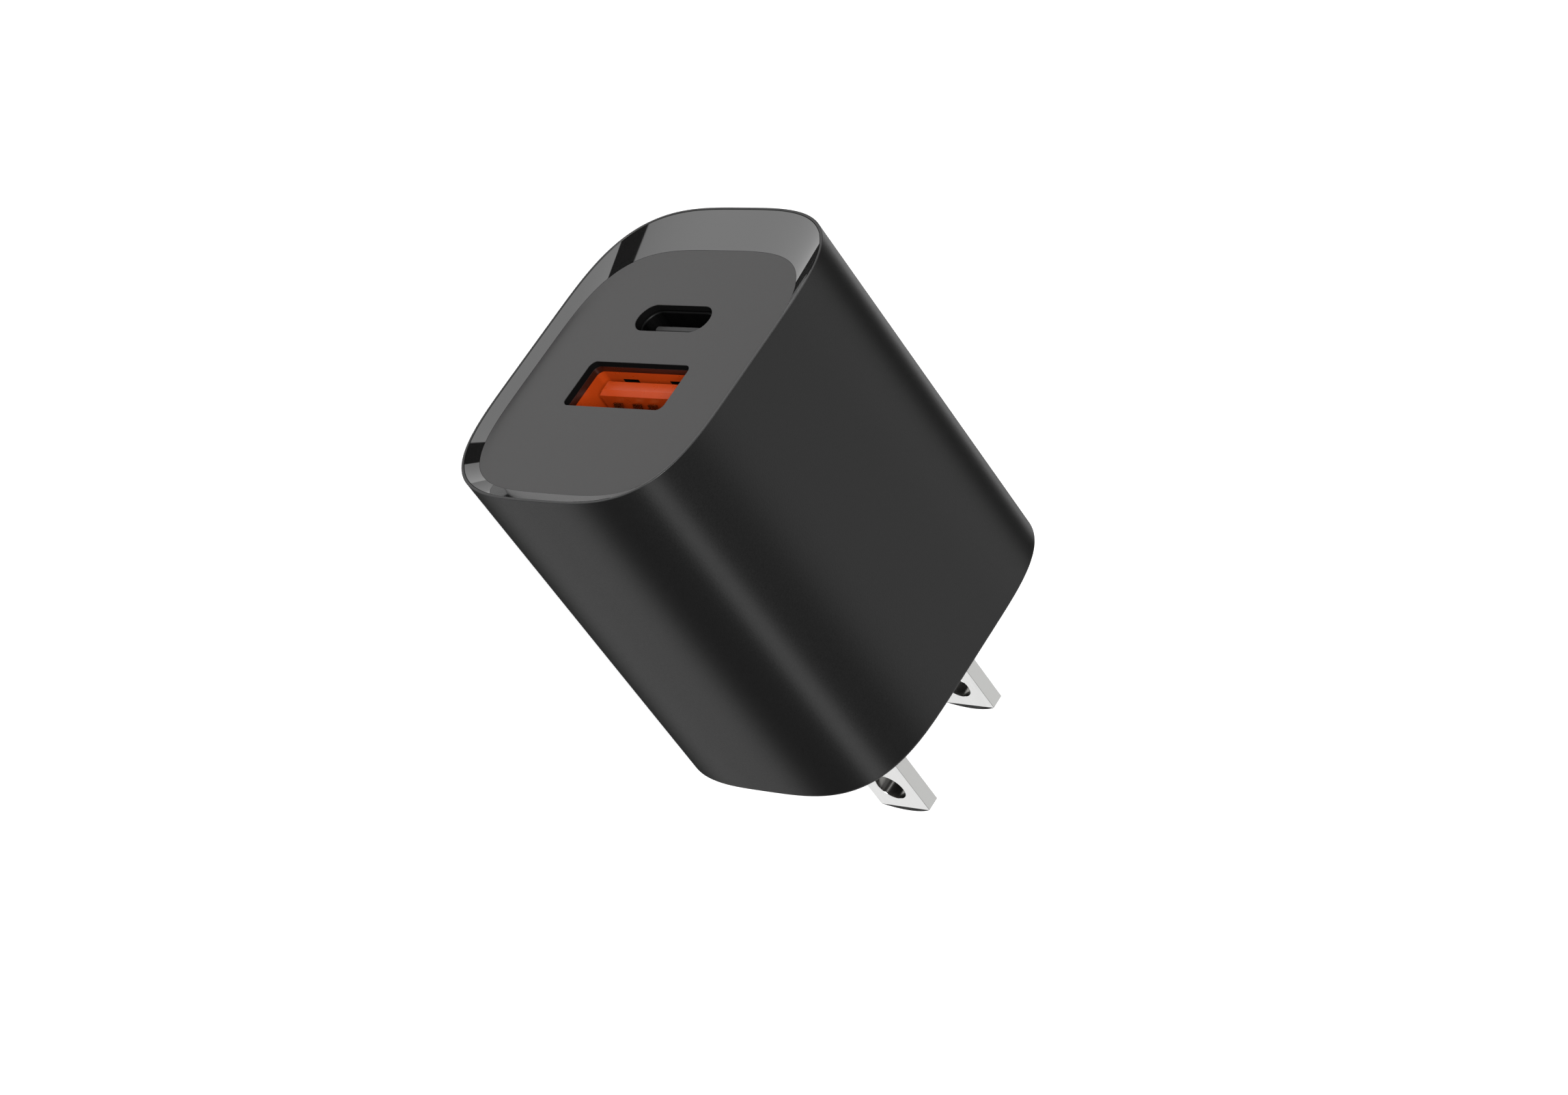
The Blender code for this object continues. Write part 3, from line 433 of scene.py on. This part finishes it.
def capacitor(node, turn):
    """A can as wide as the CAD's, whose bare end looks the way that the turn takes +Y."""
    low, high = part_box(node)
    radius, length = (high.x - low.x) / 2, abs((turn @ Vector((0, 1, 0))).dot(high - low))
    stations = [
        (0.0, radius - 0.3 * MM), (0.12 * MM, radius - 0.02 * MM),
        (NECK_FROM - NECK_SLOPE, radius), (NECK_FROM, radius - NECK_DEPTH),
        (NECK_TO, radius - NECK_DEPTH), (NECK_TO + NECK_SLOPE, radius),
        (length - 0.35 * MM, radius), (length - 0.1 * MM, radius - 0.1 * MM), (length, radius - 0.35 * MM),
        (length, radius - SLEEVE_LAP), (length - SLEEVE, radius - SLEEVE_LAP - 0.02 * MM),
        (length - SLEEVE, 0.3 * radius),
    ]
    bm = bmesh.new()
    for end in tube(bm, [(y, rounded(size, size)) for y, size in stations], SMALL_STEPS):
        fill(bm, end)
    reach, half_width = VENT_REACH * radius, VENT_WIDTH / 2
    for across, along in ((reach, half_width), (half_width, reach)):
        score = bmesh.new()
        block(score, (-across, length - SLEEVE - VENT_DEPTH, -along), (across, length + SLEEVE, along))
        bm = cut(bm, score)
    stand = Matrix.Translation((low + high) / 2) @ turn @ Matrix.Translation((0, -length / 2, 0))
    bmesh.ops.transform(bm, matrix=stand, verts=bm.verts)
    piece = make_piece(f"sleeved_{node}", bm, sleeve_green, "capacitor_can", node)
    piece.data.materials.append(aluminium)
    end_place, out = (low + high) / 2 + turn @ Vector((0, length / 2, 0)), turn @ Vector((0, 1, 0))
    bare_radius = radius - SLEEVE_LAP + 0.01 * MM
    for face in piece.data.polygons:
        offset = face.center - end_place
        beside = offset - out * offset.dot(out)
        face.material_index = int(offset.dot(out) > -2 * SLEEVE and beside.length < bare_radius)


facing_up = Matrix.Rotation(math.pi / 2, 4, "X")
facing_front = Matrix.Rotation(math.pi, 4, "Z")
for node in ("input_capacitor_1", "input_capacitor_2", "supply_capacitor"):
    capacitor(node, facing_up)
for node in ("output_capacitor_1", "output_capacitor_2"):
    capacitor(node, facing_front)


# ---------------------------------------------------------------- Small components
# The fuse, the disc capacitor and the epoxy-moulded chips and optocoupler, soldered to the two boards. The fuse
# stands on its end, and the disc capacitor on its two legs.

# Chip epoxy: matt black, with the fine texture of its mould.
epoxy, shader = surface("moulded chip epoxy", Base_Color=linear("1A1A1B"), IOR=1.55)
grain(shader, size=0.08 * MM, height=0.003 * MM, roughness=0.55, spread=0.05)
dress(epoxy, "bridge_rectifier", "primary_switch_chip", "sync_rectifier_chip", "protocol_chip", "optocoupler")
# Fuse body: off-white glazed ceramic.
ceramic, shader = surface("glazed off-white ceramic", Base_Color=linear("DDD8C8"), IOR=1.5)
grain(shader, size=0.6 * MM, height=0.003 * MM, roughness=0.25, spread=0.08)
dress(ceramic, "fuse")
# Disc capacitor: dipped blue lacquer, thick and slightly wavy.
lacquer, shader = surface("dipped blue lacquer", Base_Color=linear("2455A0"), IOR=1.5, Coat_Weight=0.4)
grain(shader, size=1.5 * MM, height=0.03 * MM, roughness=0.3, spread=0.06)
dress(lacquer, "y_capacitor")


# ---------------------------------------------------------------- Insulating sheet
# A die-cut sheet of translucent polypropylene film. It lies on the shell's floor, under the mains side of the
# main board.

# Polypropylene film: milky, with the faint haze of its calender rolls.
film, shader = surface(
    "milky polypropylene film", Base_Color=linear("E4E6E2"), IOR=1.49, Transmission_Weight=0.3
)
grain(shader, size=0.7 * MM, height=0.002 * MM, roughness=0.35, spread=0.08)
dress(film, "insulation_sheet")


# ---------------------------------------------------------------- USB-A socket
# An orange PBT moulding: a box with a deep cavity and a tongue that stands up from its floor. Two windows in
# one wall let the shield's spring fingers reach the plug.

USB_A_X = 3.35 * MM
USB_A_APERTURE = (5.33 * MM, 12.83 * MM)
USB_A_CORNER = 0.7 * MM
APERTURE_WALL = 0.65 * MM  # thickness of the port panel round a socket's mouth
SOCKET_FRONT_Y = PANEL_Y + APERTURE_WALL + 0.03 * MM
USB_A_LOW, USB_A_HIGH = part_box("usb_a_body")
CAVITY_DEPTH = 9.4 * MM
LEAD_IN, LEAD_IN_FLARE = 0.6 * MM, 0.05 * MM
TONGUE_SIDE_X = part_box("usb_a_contact_1")[0].x - 0.12 * MM
TONGUE_THICKNESS, TONGUE_HALF_Z = 1.4 * MM, 5.55 * MM
TONGUE_TIP_Y = PANEL_Y + 1.8 * MM
TONGUE_CHAMFER = 0.4 * MM
WINDOW_Z = 3.05 * MM
WINDOW_HALF_Z, WINDOW_LENGTH = 1.0 * MM, 2.4 * MM
WINDOW_Y = PANEL_Y + 2.2 * MM
WINDOW_SKIN = 0.1 * MM  # the wall that is left behind a window
NEAR = 0.01 * MM  # how close counts as on a face

# Orange PBT: a saturated moulding with a wet gloss. Its lead-in is coloured a dark brown: painted shade in the
# mouth of the socket.
orange, shader = surface("glossy orange PBT with painted shade at the lead-in", Specular_IOR_Level=0.3)
tree = orange.node_tree
split = add_node(tree, "ShaderNodeSeparateXYZ", {"Vector": place_of(tree)})
lead_in_y = SOCKET_FRONT_Y + LEAD_IN
# Painted shade: the moulding in front of the lead-in's end takes the dark brown, and the rest the orange.
depth = add_node(
    tree, "ShaderNodeMapRange",
    {"Value": split.outputs["Y"], "From Min": lead_in_y, "From Max": lead_in_y + 0.03 * MM},
)
two_tone(shader, depth.outputs["Result"], "240C06", "8E300A")
grain(shader, size=1.2 * MM, height=0.002 * MM, roughness=0.3, spread=0.04)

# Down in a window there is only shade.
window_shade, shader = surface("shaded window", Base_Color=linear("050403"), Specular_IOR_Level=0.1)
grain(shader, size=0.3 * MM, height=0.002 * MM, roughness=0.6, spread=0.05)

bm = bmesh.new()
half_x, half_z = USB_A_APERTURE[0] / 2, USB_A_APERTURE[1] / 2
outer_x, outer_z = (USB_A_HIGH.x - USB_A_LOW.x) / 2, (USB_A_HIGH.z - USB_A_LOW.z) / 2
floor_y = SOCKET_FRONT_Y + CAVITY_DEPTH
cavity = [
    (floor_y, -LEAD_IN_FLARE), (lead_in_y, -0.02 * MM),
    (SOCKET_FRONT_Y + LEAD_IN_FLARE, LEAD_IN_FLARE), (SOCKET_FRONT_Y, 2 * LEAD_IN_FLARE),
]
outside = [(SOCKET_FRONT_Y, 0.0), (USB_A_HIGH.y, 0.0)]
walls = grown(cavity, half_x, half_z, USB_A_CORNER, USB_A_X)
walls += grown(outside, outer_x, outer_z, USB_A_CORNER, USB_A_X)
for end in tube(bm, walls, SMALL_STEPS):
    fill(bm, end)
windows = bmesh.new()
for side in (-1, 1):
    block(
        windows, (USB_A_LOW.x + WINDOW_SKIN, WINDOW_Y, side * WINDOW_Z - WINDOW_HALF_Z),
        (USB_A_X - half_x + 0.4 * MM, WINDOW_Y + WINDOW_LENGTH, side * WINDOW_Z + WINDOW_HALF_Z),
    )
bm = cut(bm, windows)
tongue = bmesh.new()
block(
    tongue, (TONGUE_SIDE_X - TONGUE_THICKNESS, TONGUE_TIP_Y, -TONGUE_HALF_Z),
    (TONGUE_SIDE_X, floor_y + 0.5 * MM, TONGUE_HALF_Z),
)
tip = [edge for edge in tongue.edges if all(vert.co.y < TONGUE_TIP_Y + NEAR for vert in edge.verts)]
leading = [
    edge for edge in tip
    if all(vert.co.x > TONGUE_SIDE_X - NEAR for vert in edge.verts)
    or abs(edge.verts[0].co.z - edge.verts[1].co.z) < NEAR
]
soften(tongue, leading, TONGUE_CHAMFER, segments=1)
bm = cut(bm, tongue, "UNION")
moulding = make_piece("usb_a_moulding", bm, orange, "orange_socket", "usb_a_body")
moulding.data.materials.append(window_shade)
for face in moulding.data.polygons:
    in_wall = USB_A_LOW.x + WINDOW_SKIN / 2 < face.center.x < USB_A_X - half_x - NEAR
    along = face.center.y - WINDOW_Y
    face.material_index = int(in_wall and -WINDOW_SKIN < along < WINDOW_LENGTH + WINDOW_SKIN)


# ---------------------------------------------------------------- USB-A contacts and shield
# Four stamped bronze springs with a gold flash lie along the tongue, and a folded tinned steel shield wraps the
# moulding.

# Gold flash on bronze: a thin, slightly cloudy gold.
gold, shader = surface("gold flash on bronze", Base_Color=linear("9C8A58"), Metallic=1.0)
grain(shader, size=0.3 * MM, height=0.001 * MM, roughness=0.28, spread=0.06)
# Tinned steel: bright, with long faint roll marks.
tinned, shader = surface("tinned steel", Base_Color=linear("BDBDBB"), Metallic=1.0)
grain(shader, size=0.25 * MM, height=0.001 * MM, roughness=0.32, spread=0.08, stretch=(1, 0.08, 1))
dress(gold, *(f"usb_a_contact_{number}" for number in range(1, 5)))
dress(tinned, "usb_a_shield")


# ---------------------------------------------------------------- USB-C socket
# A drawn steel shell with a rolled mouth, and a black LCP insulator whose grey tongue carries twelve gold pads
# on each side.

USB_C_X = -4.82 * MM
USB_C_LOW, USB_C_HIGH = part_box("usb_c_shell")
INSULATOR_LOW, INSULATOR_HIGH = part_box("usb_c_insulator")
USB_C_SHELL_WALL = 0.3 * MM
USB_C_TONGUE_HALF = (0.35 * MM, 3.35 * MM)
USB_C_BASE_LENGTH = 6.0 * MM
USB_C_TONGUE_CORNER, USB_C_TONGUE_TIP = 0.3 * MM, 0.12 * MM
PADS = 12  # on each side
PAD_PITCH, PAD_WIDTH, PAD_LENGTH = 0.5 * MM, 0.25 * MM, 2.6 * MM
PAD_STAND, PAD_SETBACK, PAD_EDGE = 0.03 * MM, 0.5 * MM, 0.012 * MM

# Blackened steel: dark nickel with a soft sheen.
dark_steel, shader = surface("black nickel on steel", Base_Color=linear("1C1C1C"), Metallic=1.0)
grain(shader, size=0.3 * MM, height=0.001 * MM, roughness=0.5, spread=0.06, stretch=(1, 0.1, 1))
# Liquid-crystal polymer: charcoal, with a dry low gloss.
lcp, shader = surface("charcoal LCP", Base_Color=linear("262626"), IOR=1.5)
grain(shader, size=0.2 * MM, height=0.002 * MM, roughness=0.45, spread=0.05)

half_x, half_z = (USB_C_HIGH.x - USB_C_LOW.x) / 2, (USB_C_HIGH.z - USB_C_LOW.z) / 2
bm = bmesh.new()
roll = USB_C_SHELL_WALL / 2
mouth = [i * math.pi / 6 for i in range(7)]
section = [(USB_C_HIGH.y, -USB_C_SHELL_WALL)]
section += [(SOCKET_FRONT_Y + roll - roll * math.sin(turn), -roll - roll * math.cos(turn)) for turn in mouth]
section += [(USB_C_HIGH.y, 0.0)]
walls = grown(section, half_x, half_z, half_x, USB_C_X)
tube(bm, [*walls, walls[0]], SMALL_STEPS)
make_piece("usb_c_drawn_shell", bm, dark_steel, "usb_c_shell_steel", "usb_c_shell")

bm = bmesh.new()
base_y = INSULATOR_HIGH.y - USB_C_BASE_LENGTH
base_x, base_z = (INSULATOR_HIGH.x - INSULATOR_LOW.x) / 2, (INSULATOR_HIGH.z - INSULATOR_LOW.z) / 2
tongue_x, tongue_z = USB_C_TONGUE_HALF
tongue = [(base_y, 0.0), (INSULATOR_LOW.y + 0.15 * MM, 0.0), (INSULATOR_LOW.y, -USB_C_TONGUE_TIP)]
walls = grown([(INSULATOR_HIGH.y, 0.0), (base_y, 0.0)], base_x, base_z, base_x * 0.999, USB_C_X)
walls += grown(tongue, tongue_x, tongue_z, USB_C_TONGUE_CORNER, USB_C_X)
for end in tube(bm, walls, SMALL_STEPS):
    fill(bm, end)
make_piece("usb_c_tongue", bm, lcp, "usb_c_insulator_plastic", "usb_c_insulator")

bm = bmesh.new()
pad_y = INSULATOR_LOW.y + PAD_SETBACK
for side in (-1, 1):
    for number in range(PADS):
        x = USB_C_X + side * tongue_x
        z = (number - (PADS - 1) / 2) * PAD_PITCH
        low = (x - PAD_STAND, pad_y, z - PAD_WIDTH / 2)
        block(bm, low, (x + PAD_STAND, pad_y + PAD_LENGTH, z + PAD_WIDTH / 2), PAD_EDGE, 1)
make_piece("usb_c_pads", bm, gold, "gold_contact")


# ---------------------------------------------------------------- Port panel
# A dark grey ABS plate with an aperture for each socket. A flange round its back is trapped between the bezel
# and a ledge in the housing, and the sockets' mouths sit in shallow pockets behind the apertures.

PANEL_HALF_X, PANEL_HALF_Z = 14.75 * MM, 13.35 * MM
PANEL_SHIFT = 1.5 * MM
PANEL_POWER = 3.7
USB_C_APERTURE = (3.16 * MM, 9.16 * MM)
APERTURE_ROUND = 0.06 * MM

# Fine-etched ABS: a flat, even dark grey with a low sheen.
panel_grey, shader = surface("fine etched grey ABS", Base_Color=linear("1E1D1D"), IOR=1.5)
grain(shader, size=0.09 * MM, height=0.0015 * MM, roughness=0.34, spread=0.02)

# The aperture walls are coloured near black and give back almost no light: painted shade down in the apertures.
aperture_painted_shade, _ = surface(
    "painted shade on the aperture walls", Base_Color=linear("0B0B0B"), Roughness=0.6, Specular_IOR_Level=0.0
)


def panel_face(margin):
    """The outline of the panel's face, grown by a margin."""
    return rounded(PANEL_HALF_X + margin, PANEL_HALF_Z + margin, PANEL_POWER, centre_x=PANEL_SHIFT)


bm = bmesh.new()
flange = rounded(PANEL_HIGH.x, PANEL_HIGH.z, BODY_POWER)
front, back = tube(
    bm, [(PANEL_Y, panel_face(0.0)), (FLANGE_Y, panel_face(0.0)), (FLANGE_Y, flange), (PANEL_BACK_Y, flange)]
)
fronts, backs = [front], [back]
pocket_y = PANEL_Y + APERTURE_WALL
edge = quarter((APERTURE_ROUND, PANEL_Y + APERTURE_ROUND), APERTURE_ROUND, -2, 3)[::-1]
aperture = [(y, margin) for margin, y in edge] + [(pocket_y, 0.0)]
for socket, size, corner, centre_x in (
    ("usb_a_body", USB_A_APERTURE, USB_A_CORNER, USB_A_X),
    ("usb_c_shell", USB_C_APERTURE, USB_C_APERTURE[0] / 2, USB_C_X),
):
    low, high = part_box(socket)
    pocket_x, pocket_z = (high.x - low.x) / 2 + JOINT_GAP, (high.z - low.z) / 2 + JOINT_GAP
    pocket_corner = min(corner + JOINT_GAP, pocket_x * 0.999)
    walls = grown(aperture, size[0] / 2, size[1] / 2, corner, centre_x)
    walls += grown([(pocket_y, 0.0), (PANEL_BACK_Y, 0.0)], pocket_x, pocket_z, pocket_corner, centre_x)
    front, back = tube(bm, walls, SMALL_STEPS)
    fronts.append(front)
    backs.append(back)
fill(bm, *fronts)
fill(bm, *backs)
panel = make_piece("panel_plate", bm, panel_grey, "panel_plastic", "port_panel", sharp=10)
panel.data.materials.append(aperture_painted_shade)
# Painted shade: the walls down in the apertures take the black.
for face in panel.data.polygons:
    inside = face.center.y > PANEL_Y + APERTURE_ROUND / 2
    face.material_index = int(inside and abs(face.normal.y) < 0.7)


# ---------------------------------------------------------------- Front bezel
# A ring of black polycarbonate moulded in a polished tool. It slopes from the housing's lip down to the port
# panel, and it is wide beside the USB-C socket because the panel lies off centre.

BEZEL_GAP = 0.02 * MM
BEZEL_ROUND = 0.03 * MM
BEZEL_STEP_UP = 0.01 * MM  # how far its inner edge stands proud of the panel
BEZEL_BACK_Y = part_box("front_bezel")[1].y

# Polished polycarbonate: it shows sharp reflections over a black that has no grain of its own.
piano_black, _ = surface(
    "polished black polycarbonate", Base_Color=linear("0C0C0C"), Roughness=0.04, IOR=1.58,
    Coat_Weight=1.0, Coat_Roughness=0.02, Coat_IOR=1.58,
)

bm = bmesh.new()
outer = LIP + BEZEL_GAP
top_y = FRONT_Y + BEZEL_ROUND
ring = [
    (BEZEL_BACK_Y, body(outer)), (top_y + BEZEL_ROUND, body(outer)), (top_y, body(outer + BEZEL_ROUND)),
    (PANEL_Y - BEZEL_STEP_UP, panel_face(BEZEL_GAP)), (BEZEL_BACK_Y, panel_face(BEZEL_GAP)),
]
tube(bm, [*ring, ring[0]])
make_piece("bezel_ring", bm, piano_black, "bezel_gloss", "front_bezel", sharp=20)


# ---------------------------------------------------------------- Studio
# A pale paper sweep under the charger, which glows faintly to wash out the shadows on it: painted light. A soft
# key light in front, a soft bank behind, and a strip light whose reflection runs down the shell's corner. White
# surfaces round about are there to be reflected.

FLOOR_SIZE, FLOOR_GAP = 3.0, 0.02 * MM

# The sweep's faint glow is painted light, which washes out the shadows on it.
paper, _ = surface(
    "white paper sweep with a painted glow", Base_Color=linear("F4F4F4"), Roughness=0.9,
    Emission_Color=linear("FFFFFF"), Emission_Strength=0.35,
)
floor_bm = bmesh.new()
bmesh.ops.create_grid(floor_bm, x_segments=1, y_segments=1, size=FLOOR_SIZE)
floor_mesh = bpy.data.meshes.new("floor")
floor_bm.to_mesh(floor_mesh)
floor_bm.free()
floor_mesh.transform(Matrix.Translation((0, 0, HOUSING_LOW.z - FLOOR_GAP)))
floor_mesh.materials.append(paper)
floor = bpy.data.objects.new("floor", floor_mesh)
bpy.context.scene.collection.objects.link(floor)
floor.visible_glossy = False


def soft_light(name, place, size, power):
    """A rectangular light that faces the charger, with its second side along the charger's length."""
    place, target = Vector(place), Vector((0.0, -0.02, 0.0))
    toward = (target - place).normalized()
    across = toward.cross((0.0, 1.0, 0.0)).normalized()
    data = bpy.data.lights.new(name, "AREA")
    data.shape, data.size, data.size_y, data.energy = "RECTANGLE", size[0], size[1], power
    light = bpy.data.objects.new(name, data)
    turn = Matrix((across, across.cross(toward), -toward)).transposed().to_4x4()
    light.matrix_world = Matrix.Translation(place) @ turn
    bpy.context.scene.collection.objects.link(light)


soft_light("key", (0.42, -0.56, 0.72), (0.45, 0.45), 14.0)
soft_light("back", (-0.422, 0.436, 0.494), (0.46, 0.6), 0.63)
soft_light("strip", (0.493, 0.427, 0.444), (0.30, 0.6), 0.85)

# The surroundings are set out by direction: x, y and z are those of the unit vector that looks at them.
TABLE_HEIGHT = -0.57  # the far edge of the table, which dips toward +X by the lean
TABLE_LEAN = {"From Min": 0.3, "From Max": 1.0, "To Max": 0.25}
TABLE_FADE = {"From Min": -0.1, "From Max": 0.3, "To Min": 1.1, "To Max": 0.76}
TABLE_END = {"From Min": -0.72, "From Max": -0.68, "To Min": 0.45}
RUNNER_X, RUNNER_Y = (-0.5, 0.26), -0.23
FRONT_X, FRONT_Y_END, FRONT_Z = (-0.7, 0.95), -0.4, (-0.36, 0.75)
FRONT_LEVEL = 1.5
SIDE_X_END, SIDE_Z = -0.7, (-0.58, -0.18)
BEYOND = 1.1  # past the end of any direction
ROOM_LEVEL, WALL_LEVEL = 0.035, 0.55


def combine(tree, operation, *factors):
    """Joins values by an operation, one after another."""
    made = factors[0]
    for factor in factors[1:]:
        made = add_node(tree, "ShaderNodeMath", {0: made, 1: factor}, operation=operation).outputs["Value"]
    return made


def ramp(tree, value, limits):
    """Maps a value between limits, which are the sockets of a map range node."""
    return add_node(tree, "ShaderNodeMapRange", {"Value": value, **limits}).outputs["Result"]


def band(tree, value, low, high, edge=0.01):
    """1 where a value lies between two limits, and 0 elsewhere."""
    above = ramp(tree, value, {"From Min": low, "From Max": low + edge})
    below = ramp(tree, value, {"From Min": high, "From Max": high - edge})
    return combine(tree, "MULTIPLY", above, below)


# The dim room holds a white table below the charger, with a dark runner across it, and white cards in front and
# to one side. Its far walls are brighter, and the camera sees plain white.
world = bpy.data.worlds.new("studio")
world.use_nodes = True
world.cycles.sampling_method = "NONE"
tree = world.node_tree
way = add_node(tree, "ShaderNodeTexCoord", {}).outputs["Generated"]
x, y, z = add_node(tree, "ShaderNodeSeparateXYZ", {"Vector": way}).outputs
runner = combine(tree, "MULTIPLY", band(tree, x, *RUNNER_X), band(tree, y, RUNNER_Y, BEYOND))
table = combine(
    tree, "MULTIPLY", band(tree, combine(tree, "ADD", z, ramp(tree, x, TABLE_LEAN)), -BEYOND, TABLE_HEIGHT),
    combine(tree, "SUBTRACT", 1.0, runner), ramp(tree, x, TABLE_FADE), ramp(tree, x, TABLE_END),
)
front = combine(
    tree, "MULTIPLY", band(tree, x, *FRONT_X), band(tree, y, -BEYOND, FRONT_Y_END),
    band(tree, z, *FRONT_Z), FRONT_LEVEL,
)
side = combine(tree, "MULTIPLY", band(tree, x, -BEYOND, SIDE_X_END), band(tree, z, *SIDE_Z))
walls = [
    ramp(tree, value, {"From Min": near, "From Max": far, "To Max": WALL_LEVEL})
    for value, near, far in ((y, 0.75, 0.95), (x, 0.9, 0.98), (x, -0.9, -0.98), (z, 0.87, 0.97))
]
whites = combine(tree, "ADD", table, front, side, ROOM_LEVEL, *walls)
seen = add_node(tree, "ShaderNodeLightPath", {}).outputs["Is Camera Ray"]
background = tree.nodes["Background"]
background.inputs["Color"].default_value = linear("FFFFFF")
tree.links.new(combine(tree, "MAXIMUM", whites, seen), background.inputs["Strength"])
bpy.context.scene.world = world
bpy.context.scene.view_settings.view_transform = "Standard"

CAMERA_PLACE = Vector((172.15, -234.5, 278.44)) * MM
CAMERA_AIM = Vector((0.42, -14.45, 0.0)) * MM
CAMERA_ROLL = 95.01  # degrees, so that the ports look up and to the left
CAMERA_SENSOR, CAMERA_LENS = 36.0, 98.36

camera_data = bpy.data.cameras.new("camera")
camera_data.sensor_width = CAMERA_SENSOR
camera_data.lens = CAMERA_LENS
camera_data.clip_start = 0.01
camera = bpy.data.objects.new("camera", camera_data)
look = (CAMERA_AIM - CAMERA_PLACE).to_track_quat("-Z", "Y").to_matrix().to_4x4()
roll = Matrix.Rotation(math.radians(CAMERA_ROLL), 4, "Z")
camera.matrix_world = Matrix.Translation(CAMERA_PLACE) @ look @ roll
bpy.context.scene.collection.objects.link(camera)
bpy.context.scene.camera = camera
